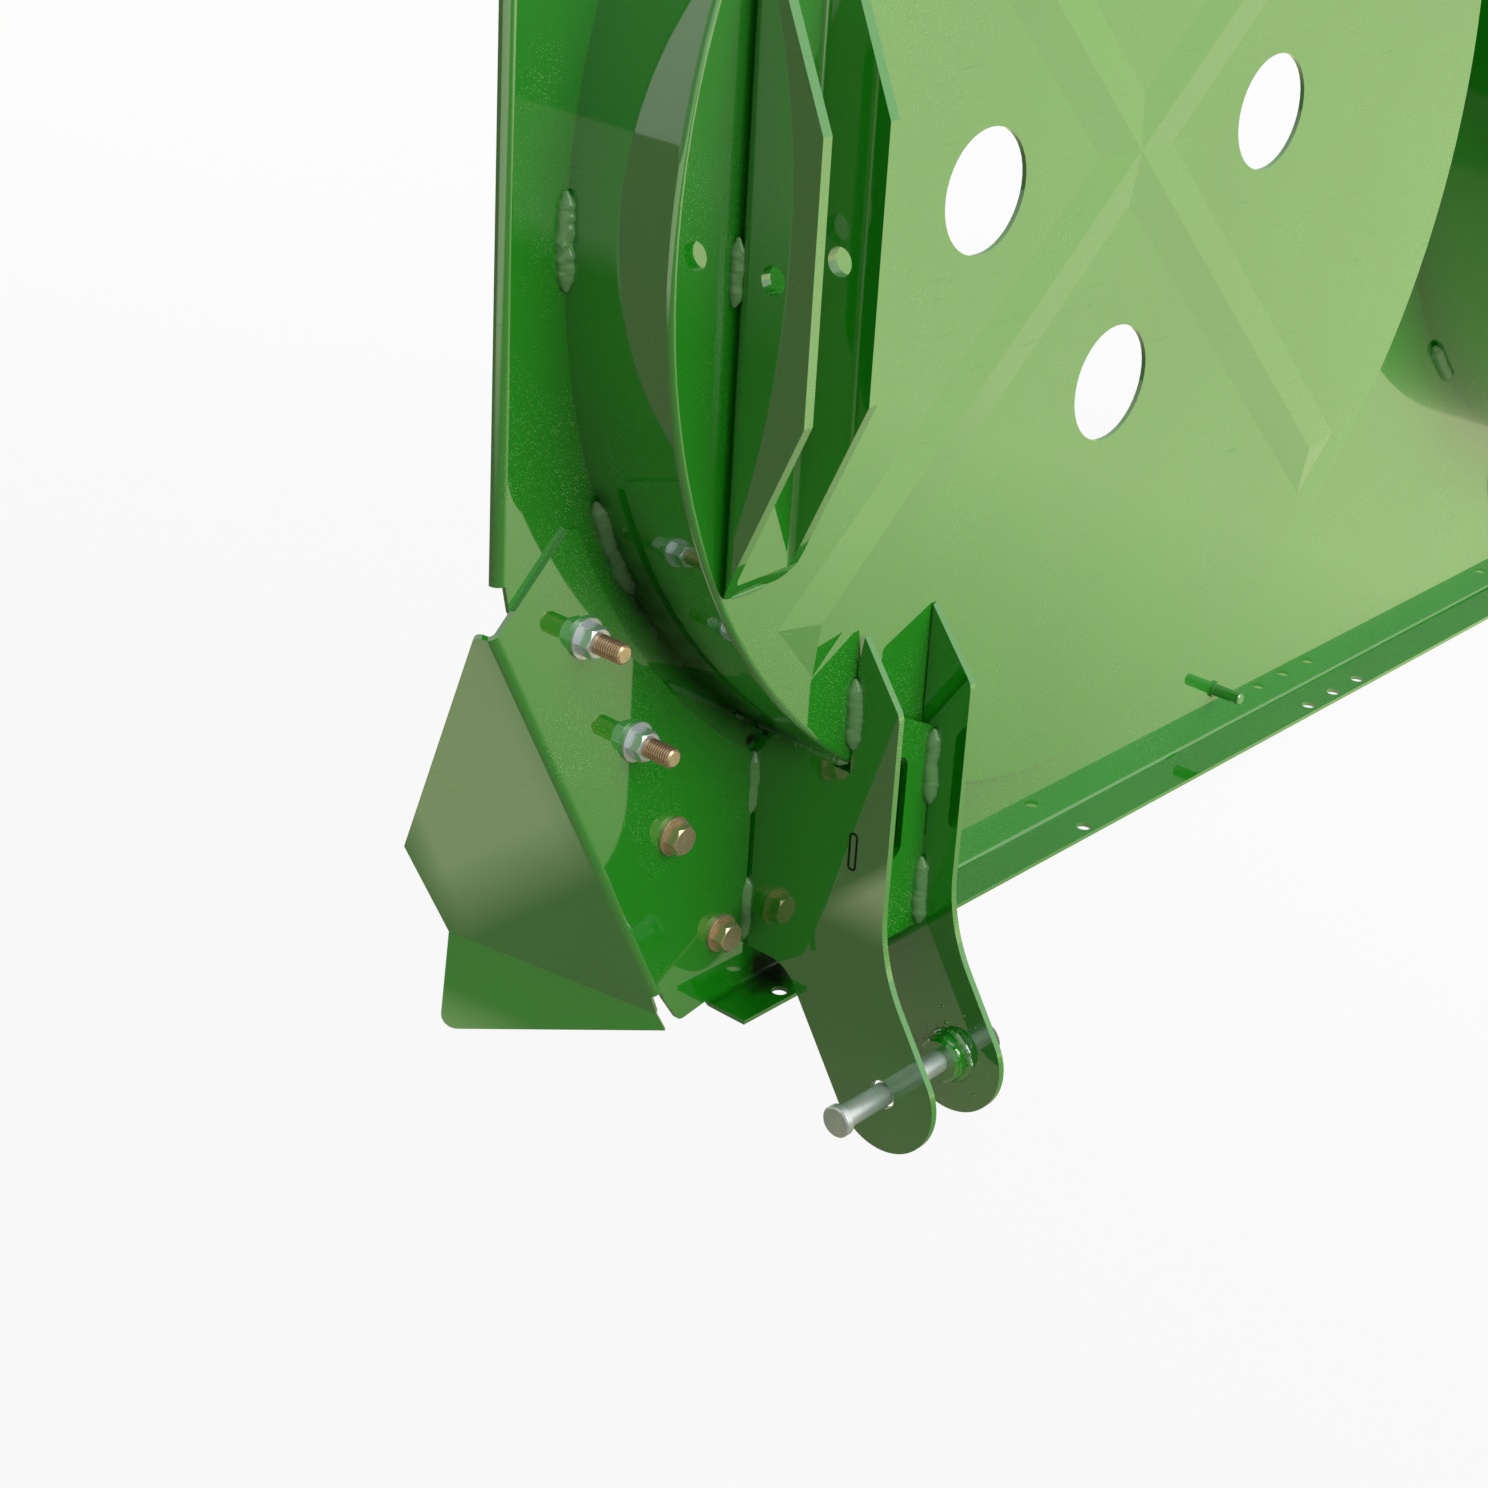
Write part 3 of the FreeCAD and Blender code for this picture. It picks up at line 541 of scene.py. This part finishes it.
def settle(piece):
    """Moves the piece's place into its mesh and smooths its faces."""
    make_active(piece)
    bpy.ops.object.transform_apply(location=True, rotation=True, scale=True)
    bpy.ops.object.shade_smooth_by_angle(angle=math.radians(40))


def dress(piece, name, material):
    piece.name = name
    piece.data.name = name
    piece.data.materials.clear()
    piece.data.materials.append(bpy.data.materials[material])
    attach(piece, "housing")


def dress_pair(piece, name, material):
    """Finishes a piece of the left half and its twin on the right."""
    twin = mirror_copy(piece)
    dress(piece, name + "_left", material)
    dress(twin, name + "_right", material)


def mirror_copy(piece):
    """A copy on the other half, with its own mesh and its faces outwards."""
    twin = piece.copy()
    twin.data = piece.data.copy()
    bpy.context.collection.objects.link(twin)
    twin.data.transform(Matrix.Scale(-1, 4, (1, 0, 0)))
    make_active(twin)
    bpy.ops.object.mode_set(mode="EDIT")
    bpy.ops.mesh.select_all(action="SELECT")
    bpy.ops.mesh.normals_make_consistent(inside=False)
    bpy.ops.object.mode_set(mode="OBJECT")
    return twin


def weld_bead(path, out, width, seed):
    """A bead of overlapping ripples along the path; out points away from the corner."""
    draw = random.Random(seed)
    pitch = own_settings().ripple_pitch
    length = sum((b - a).length for a, b in zip(path, path[1:]))
    count = max(3, round(length / pitch))
    ripples = []
    swell_phase, sway_phase, shake_phase = [draw.uniform(0, 2 * math.pi) for _ in range(3)]
    for step in range(count + 1):
        spot = step / count * (len(path) - 1)
        index = min(int(spot), len(path) - 2)
        place = path[index].lerp(path[index + 1], spot - index)
        along = (path[index + 1] - path[index]).normalized()
        away = (out(place) if callable(out) else out).normalized()
        across = away.cross(along).normalized()
        run = step * pitch / width
        swell = (1 + draw.uniform(-CHANCE_SWELL, CHANCE_SWELL)
                 + WAVE_SWELL * math.sin(1.3 * run + swell_phase))
        taper = min(1.0, TAPER_START + TAPER_STEP * min(step, count - step))
        sway = (WAVE_SWAY * math.sin(0.9 * run + sway_phase)
                + WAVE_SHAKE * math.sin(2.7 * run + shake_phase))
        shift = across * (sway + draw.uniform(-CHANCE_SWAY, CHANCE_SWAY)) * width
        bpy.ops.mesh.primitive_uv_sphere_add(segments=12, ring_count=8, radius=1,
                                             location=place + shift)
        ripple = bpy.context.object
        ripple.rotation_euler = Matrix((along, across, away)).transposed().to_euler()
        ripple.scale = (RIPPLE_LENGTH * width, RIPPLE_WIDTH * width * swell * taper,
                        RIPPLE_HEIGHT * width * swell * taper)
        ripples.append(ripple)
    bead = join(ripples)
    bpy.ops.object.transform_apply(location=True, rotation=True, scale=True)
    apply_modifier(bead, "REMESH", mode="VOXEL", voxel_size=BEAD_VOXEL)
    apply_modifier(bead, "SMOOTH", factor=0.5, iterations=2)
    keep_in_front(bead, path[0].y)
    settle(bead)
    return bead


def keep_in_front(bead, depth):
    """Presses the bead's hidden back flat, inside the sheet that it is laid on."""
    on_panel = depth > (PANEL_Y + FACE_Y) / 2
    wall = (PANEL_Y if on_panel else FACE_Y) + SINK
    least = RIM_R - SINK
    for vertex in bead.data.vertices:
        vertex.co.y = min(vertex.co.y, wall)
        reach = Vector((vertex.co.x - RIM_CENTRE.x, vertex.co.z - RIM_CENTRE.z))
        if on_panel and least - RIM_BAND < reach.length < least:
            reach *= least / reach.length
            vertex.co.x = RIM_CENTRE.x + reach.x
            vertex.co.z = RIM_CENTRE.z + reach.y


def rim_point(angle):
    """A point by the left pan's rim at an angle from straight down towards the outside."""
    turn = math.radians(angle)
    radius = RIM_R + RIM_LIFT
    return Vector((RIM_CENTRE.x - radius * math.sin(turn), PANEL_Y - RIM_LIFT,
                   RIM_CENTRE.z - radius * math.cos(turn)))


def off_rim(place):
    """The way out of the corner between a rim and the panel."""
    return (place - RIM_CENTRE).normalized() * 0.8 + Vector((0, -0.8, 0))


def bead_routes():
    """Every weld bead of the left half: name, path, the way it faces and its width."""
    width = own_settings().bead_width
    routes = []
    for name, first, last, share in RIM_BEADS:
        path = [rim_point(first + (last - first) * i / 6) for i in range(7)]
        routes.append(("weld_rim_" + name, path, off_rim, width * share))
    for name, x, y, top, bottom, out, share in UPRIGHT_BEADS:
        lift = Vector((math.copysign(SIDE_LIFT, out[0]), FRONT_LIFT, 0))
        path = [Vector((x, y, height * MM)) + lift for height in (top, bottom)]
        routes.append((name, path, Vector(out), width * share))
    for name, low, high in (("weld_notch_outer", OUTER_LOW, OUTER_HIGH),
                            ("weld_notch_inner", INNER_LOW, INNER_HIGH)):
        heights = [RIM_CENTRE.z - math.sqrt(RIM_R ** 2 - (RIM_CENTRE.x - x) ** 2)
                   for x in (low.x, high.x)]
        seam = [Vector((low.x + 1.3 * MM, y, sum(heights) / 2))
                for y in (PANEL_Y - 3 * MM, FACE_Y + 4 * MM)]
        routes.append((name, seam, Vector((-1, 0, 0.3)), NOTCH_SEAM))
    foot = [Vector((EAR_LOW.x + run * MM, FACE_Y, EAR_LOW.z)) for run in (12, 34)]
    routes.append(("weld_channel_foot", foot, Vector((0, -0.6, -1)), width * 0.42))
    return routes


class HOUSING_OT_materials(bpy.types.Operator):
    """Make the materials and give every CAD node its own"""
    bl_idname = "housing.materials"
    bl_label = "Paint and plating"

    def execute(self, context):
        make_groups()
        make_materials()
        wanted = {"rear_panel": "green paint", "weld_stud": "green paint",
                  "front_nuts": "bright zinc", "long_bolts": "yellow zinc",
                  "flange_bolts": "yellow zinc", "rear_nuts": "yellow zinc"}
        for side in SIDES:
            for part in PAINTED:
                edge = part.startswith("lower_arm")
                wanted[part + "_" + side] = "green paint on edges" if edge else "green paint"
            wanted["clevis_pin_" + side] = "bright zinc"
            wanted["retaining_ring_" + side] = "spring wire"
        for name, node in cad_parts.items():
            node.data.materials.clear()
            node.data.materials.append(bpy.data.materials[wanted[name]])
        return {"FINISHED"}


class HOUSING_OT_weld_beads(bpy.types.Operator):
    """Lay the weld beads of the pans, arms, webs and brackets"""
    bl_idname = "housing.weld_beads"
    bl_label = "Weld beads"

    def execute(self, context):
        for seed, (name, path, out, width) in enumerate(bead_routes()):
            finish = "green paint" if "notch" in name else "painted weld"
            dress_pair(weld_bead(path, out, width, seed), name, finish)
        return {"FINISHED"}


class HOUSING_OT_collar_welds(bpy.types.Operator):
    """Lay the rough weld round each collar, with its spatter on the arm"""
    bl_idname = "housing.collar_welds"
    bl_label = "Collar welds"

    def execute(self, context):
        centre = (COLLAR_LOW + COLLAR_HIGH) / 2
        radius = (COLLAR_HIGH.z - COLLAR_LOW.z) / 2
        turns = [math.radians(15 * i) for i in range(23)]
        path = [Vector((COLLAR_HIGH.x, centre.y + radius * math.cos(t),
                        centre.z + radius * math.sin(t))) for t in turns]

        def outwards(place):
            axis = Vector((place.x, centre.y, centre.z))
            return (place - axis).normalized() + Vector((-1.0, 0, 0))

        ring = weld_bead(path, outwards, COLLAR_BEAD, 77)
        weld = join([self.rough_skin(centre, radius), ring] + self.spatter(centre, radius))
        settle(weld)
        dress_pair(weld, "collar_weld", "green paint on edges")
        return {"FINISHED"}

    def rough_skin(self, centre, radius):
        """Lumpy metal melted over the collar, open round the pin."""
        length = COLLAR_HIGH.x - COLLAR_LOW.x
        bpy.ops.mesh.primitive_torus_add(
            major_segments=72, minor_segments=20, major_radius=radius - 0.0022,
            minor_radius=0.0030, location=centre, rotation=(0, math.pi / 2, 0))
        skin = bpy.context.object
        bpy.ops.object.transform_apply(location=True, rotation=True, scale=True)
        stretch = Matrix.Translation(centre) @ Matrix.Diagonal((1.45, 1, 1, 1))
        skin.data.transform(stretch @ Matrix.Translation(-centre))
        clouds = bpy.data.textures.new("collar lumps", "CLOUDS")
        clouds.noise_scale = length * 0.35
        apply_modifier(skin, "DISPLACE", texture=clouds, strength=0.0030, mid_level=0.55)
        return skin

    def spatter(self, centre, radius):
        """Small drops of metal on the arm round the collar."""
        draw = random.Random(5)
        drops = []
        for _ in range(SPATTER_DROPS):
            turn = draw.uniform(0, 2 * math.pi)
            reach = radius + draw.uniform(0.003, 0.016)
            size = draw.uniform(0.0005, 0.0012)
            place = (INNER_LOW.x, centre.y + reach * math.cos(turn),
                     centre.z + reach * math.sin(turn))
            bpy.ops.mesh.primitive_ico_sphere_add(subdivisions=2, radius=size, location=place)
            drop = bpy.context.object
            drop.scale = (0.6, draw.uniform(0.8, 1.4), 1.0)
            bpy.ops.object.transform_apply(location=True, rotation=True, scale=True)
            drops.append(drop)
        return drops


class HOUSING_OT_tab_gaps(bpy.types.Operator):
    """Draw the gap round each web tab where it ends in its arm as a dark line of painted shade
    """
    bl_idname = "housing.tab_gaps"
    bl_label = "Tab gaps"

    def execute(self, context):
        for arm, x in (("outer", OUTER_LOW.x), ("inner", INNER_HIGH.x)):
            # The dark line stands for the gap's shade
            dress_pair(self.outline(x), "tab_gap_" + arm, "packed dirt")
        return {"FINISHED"}

    def outline(self, x):
        """A thin rounded dark line of painted shade, half sunk into the gap."""
        wide = WEB_HIGH.y - WEB_LOW.y + TAB_PLAY
        middle = Vector((x, (WEB_HIGH.y + WEB_LOW.y) / 2, WEB_LOW.z + TAB_RISE))
        deselect()
        bpy.ops.mesh.primitive_plane_add(size=1, location=middle, rotation=(0, math.pi / 2, 0))
        piece = bpy.context.object
        piece.scale = (TAB_LENGTH + TAB_PLAY, wide, 1)
        bpy.ops.object.transform_apply(location=True, rotation=True, scale=True)
        bpy.ops.object.mode_set(mode="EDIT")
        bpy.ops.mesh.select_all(action="SELECT")
        bpy.ops.mesh.delete(type="ONLY_FACE")
        bpy.ops.mesh.select_all(action="SELECT")
        bpy.ops.mesh.bevel(offset=wide * 0.45, segments=6, affect="VERTICES")
        bpy.ops.object.mode_set(mode="OBJECT")
        bpy.ops.object.convert(target="CURVE")
        piece = bpy.context.object
        piece.data.bevel_depth = GAP_SHADE_RADIUS
        piece.data.bevel_resolution = 2
        bpy.ops.object.convert(target="MESH")
        piece = bpy.context.object
        settle(piece)
        return piece


class HOUSING_OT_threads(bpy.types.Operator):
    """Cut the bare threads of the long bolts and flange bolts"""
    bl_idname = "housing.threads"
    bl_label = "Bolt threads"

    def execute(self, context):
        for name, node, seat, tip in self.stretches():
            piece = join([self.thread(x, z, seat, tip) for x, z in self.bolt_centres(node)])
            settle(piece)
            dress(piece, name, "copper thread")
        return {"FINISHED"}

    def stretches(self):
        """Each run of bare threads: name, bolt's node, and its Y at the nut and at the tip."""
        front_low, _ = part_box("front_nuts")
        bolt_low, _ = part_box("long_bolts")
        _, rear_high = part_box("rear_nuts")
        _, end_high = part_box("flange_bolts")
        return (("long_bolt_threads", "long_bolts", front_low[1], bolt_low[1]),
                ("flange_bolt_threads", "flange_bolts", rear_high[1], end_high[1]))

    def bolt_centres(self, node):
        """Axis of each bolt, from the middle of each loose part of its node."""
        spots = []
        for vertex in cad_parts[node].data.vertices:
            place = Vector((vertex.co.x, vertex.co.z))
            near = next((s for s in spots if (s[0] - place).length < BOLTS_APART), None)
            if near is None:
                spots.append([place, [place]])
            else:
                near[1].append(place)
        middles = []
        for _, points in spots:
            xs = [p.x for p in points]
            zs = [p.y for p in points]
            middles.append(((min(xs) + max(xs)) / 2, (min(zs) + max(zs)) / 2))
        return middles

    def thread(self, x, z, seat, tip):
        """One helical ridge, screwed along the bare end of a bolt."""
        pitch = own_settings().thread_pitch
        way = 1 if tip > seat else -1
        turns = int((abs(tip - seat) - THREAD_END) / pitch)
        bpy.ops.mesh.primitive_plane_add(size=pitch)
        ridge = bpy.context.object
        bpy.ops.object.mode_set(mode="EDIT")
        bpy.ops.mesh.select_all(action="DESELECT")
        bpy.ops.object.mode_set(mode="OBJECT")
        ridge.data.vertices[3].select = True
        bpy.ops.object.mode_set(mode="EDIT")
        bpy.ops.mesh.delete(type="VERT")
        bpy.ops.object.mode_set(mode="OBJECT")
        corners = ((THREAD_CREST, 0.5), (THREAD_ROOT, 1.0), (THREAD_ROOT, 0.0))
        for vertex, (reach, share) in zip(ridge.data.vertices, corners):
            vertex.co = (reach, 0.0, share * pitch)
        apply_modifier(ridge, "SCREW", axis="Z", angle=2 * math.pi, screw_offset=pitch,
                       iterations=turns, steps=THREAD_STEPS, render_steps=THREAD_STEPS,
                       use_merge_vertices=True, merge_threshold=0.00001)
        height = ridge.data.attributes.new("crest", "FLOAT", "POINT")
        for vertex, share in zip(ridge.data.vertices, height.data):
            share.value = float(vertex.co.xy.length > (THREAD_CREST + THREAD_ROOT) / 2)
        ridge.data.transform(Matrix.Translation((x, seat, z))
                             @ Matrix.Rotation(-way * math.pi / 2, 4, "X"))
        return ridge


class HOUSING_OT_stage(bpy.types.Operator):
    """Set the floor, the soft lights, the background and the camera"""
    bl_idname = "housing.stage"
    bl_label = "Studio"

    def execute(self, context):
        self.floor()
        self.world(context.scene)
        self.lights()
        self.camera(context.scene)
        context.scene.view_settings.view_transform = "Standard"
        return {"FINISHED"}

    def floor(self):
        """White where it is seen; elsewhere a painted shadow of the housing in its own colour,
        and a glowing painted reflection, darker and greener, where paint mirrors it.
        """
        bpy.ops.mesh.primitive_plane_add(size=FLOOR_SIZE,
                                         location=(0, 0, CAD_BOX[0][2] - FLOOR_GAP))
        floor = bpy.context.object
        bpy.ops.object.transform_apply(location=True, rotation=True, scale=True)
        floor.name = "floor"
        material = bpy.data.materials.new("studio floor")
        material.use_nodes = True
        tree = material.node_tree
        tree.nodes.clear()
        rays = tree.nodes.new("ShaderNodeLightPath").outputs
        spot = tree.nodes.new("ShaderNodeNewGeometry")
        axes = add_node(tree, "ShaderNodeSeparateXYZ", Vector=spot.outputs["Position"]).outputs
        # Painted shadow of the housing on the floor, dark towards -X
        across = add_range(tree, axes["X"], *FLOOR_SHADOW_FADE)
        colour = tuple(own_settings().floor_colour)
        shaded = [channel * FLOOR_SHADOW_DEPTH for channel in colour]
        matt = add_node(tree, "ShaderNodeBsdfDiffuse",
                        Color=add_mix(tree, across, shaded, colour))
        # Painted reflection of the floor's shade and light, glowing where glossy paint mirrors
        # it
        tone = add_mix(tree, across, MIRRORED_FLOOR_SHADOW, MIRRORED_FLOOR_LIT)
        for patch, edges in MIRRORED_LIGHT_POOLS:
            tone = add_mix(tree, add_edges(tree, axes, edges), tone, patch)
        painted_reflection = add_node(tree, "ShaderNodeEmission",
                         Color=add_mix(tree, rays["Is Camera Ray"], tone, WHITE))
        seen = add_math(tree, "MULTIPLY", rays["Is Camera Ray"], FLOOR_SEEN)
        share = add_math(tree, "MAXIMUM", seen, rays["Is Glossy Ray"])
        show_mix(tree, share, matt, painted_reflection, "ShaderNodeOutputMaterial")
        floor.data.materials.append(material)

    def world(self, scene):
        """White where it is seen, soft for light, and dimmer and greener in reflections."""
        settings = own_settings()
        world = bpy.data.worlds.new("studio")
        world.use_nodes = True
        scene.world = world
        tree = world.node_tree
        tree.nodes.clear()
        way = tree.nodes.new("ShaderNodeTexCoord").outputs["Generated"]
        rays = tree.nodes.new("ShaderNodeLightPath").outputs
        front = self.facing(tree, way, SCREEN_FROM)
        back = self.facing(tree, way, BACK_FROM)
        glow = add_math(tree, "POWER", self.facing(tree, way, KEY_FROM), KEY_NARROW)
        screens = add_math(tree, "MULTIPLY_ADD", front, settings.screen_strength,
                           settings.ambient)
        screens = add_math(tree, "MULTIPLY_ADD", back, BACK_STRENGTH, screens)
        screens = add_math(tree, "MULTIPLY_ADD", glow, settings.screen_strength * KEY_GLOW,
                           screens)
        soft = add_node(tree, "ShaderNodeBackground", Strength=screens)
        both = add_math(tree, "ADD", add_range(tree, front, 0.0, 0.7), back, clamp=True)
        mirrored = add_mix(tree, both, WALL_DARK, WALL_LIGHT)
        shown = add_node(tree, "ShaderNodeBackground",
                         Color=add_mix(tree, rays["Is Camera Ray"], mirrored, WHITE))
        direct = add_math(tree, "MAXIMUM", rays["Is Camera Ray"], rays["Is Glossy Ray"])
        direct = add_math(tree, "MAXIMUM", direct, rays["Is Transmission Ray"])
        show_mix(tree, direct, soft, shown, "ShaderNodeOutputWorld")

    def facing(self, tree, way, source):
        """How far a direction points towards a soft screen, from 0 to 1."""
        dot = add_vector_math(tree, "DOT_PRODUCT", way, Vector(source).normalized())
        return add_math(tree, "MAXIMUM", dot.outputs["Value"], 0.0)

    def lights(self):
        """One wide soft sun for the key."""
        key = bpy.data.lights.new("key", "SUN")
        key.energy = own_settings().key_strength
        key.angle = math.radians(45)
        lamp = bpy.data.objects.new("key", key)
        bpy.context.collection.objects.link(lamp)
        lamp.rotation_euler = (-Vector(KEY_FROM)).to_track_quat("-Z", "Y").to_euler()

    def camera(self, scene):
        """The photograph's own viewpoint, worked out from the pan rims and the panel."""
        place = (-1.6316, -0.8083, 0.39304)
        right = Vector((0.66822548, -0.74197943, 0.05423312))
        down = Vector((-0.29336707, -0.32979282, -0.89731403))
        look = Vector((0.68367424, 0.58369789, -0.43804829))
        focal_px = 2939.272
        centre_px = (746.443, 717.600)
        lens = bpy.data.cameras.new("camera")
        lens.sensor_width = 36.0
        lens.lens = focal_px / PHOTO_WIDTH * lens.sensor_width
        lens.shift_x = (PHOTO_WIDTH / 2 - centre_px[0]) / PHOTO_WIDTH
        lens.shift_y = (centre_px[1] - PHOTO_WIDTH / 2) / PHOTO_WIDTH
        lens.clip_end = 100
        camera = bpy.data.objects.new("camera", lens)
        turn = Matrix((right, -down, -look)).transposed().to_4x4()
        camera.matrix_world = Matrix.Translation(place) @ turn
        bpy.context.collection.objects.link(camera)
        scene.camera = camera


class HOUSING_PT_panel(bpy.types.Panel):
    bl_idname = "HOUSING_PT_panel"
    bl_label = "Housing"
    bl_space_type = "VIEW_3D"
    bl_region_type = "UI"
    bl_category = "Housing"

    def draw(self, context):
        for operator in OPERATORS:
            self.layout.operator(operator.bl_idname)
        for name in HousingSettings.__annotations__:
            self.layout.prop(context.scene.housing_settings, name)


OPERATORS = (HOUSING_OT_materials, HOUSING_OT_weld_beads, HOUSING_OT_collar_welds,
             HOUSING_OT_tab_gaps, HOUSING_OT_threads, HOUSING_OT_stage)
CLASSES = (HousingSettings, *OPERATORS, HOUSING_PT_panel)


def register():
    for item in CLASSES:
        bpy.utils.register_class(item)
    bpy.types.Scene.housing_settings = bpy.props.PointerProperty(type=HousingSettings)


def unregister():
    del bpy.types.Scene.housing_settings
    for item in reversed(CLASSES):
        bpy.utils.unregister_class(item)


def main():
    register()
    bpy.ops.housing.materials()
    bpy.ops.housing.weld_beads()
    bpy.ops.housing.collar_welds()
    bpy.ops.housing.tab_gaps()
    bpy.ops.housing.threads()
    bpy.ops.housing.stage()


if __name__ == "__main__":
    main()
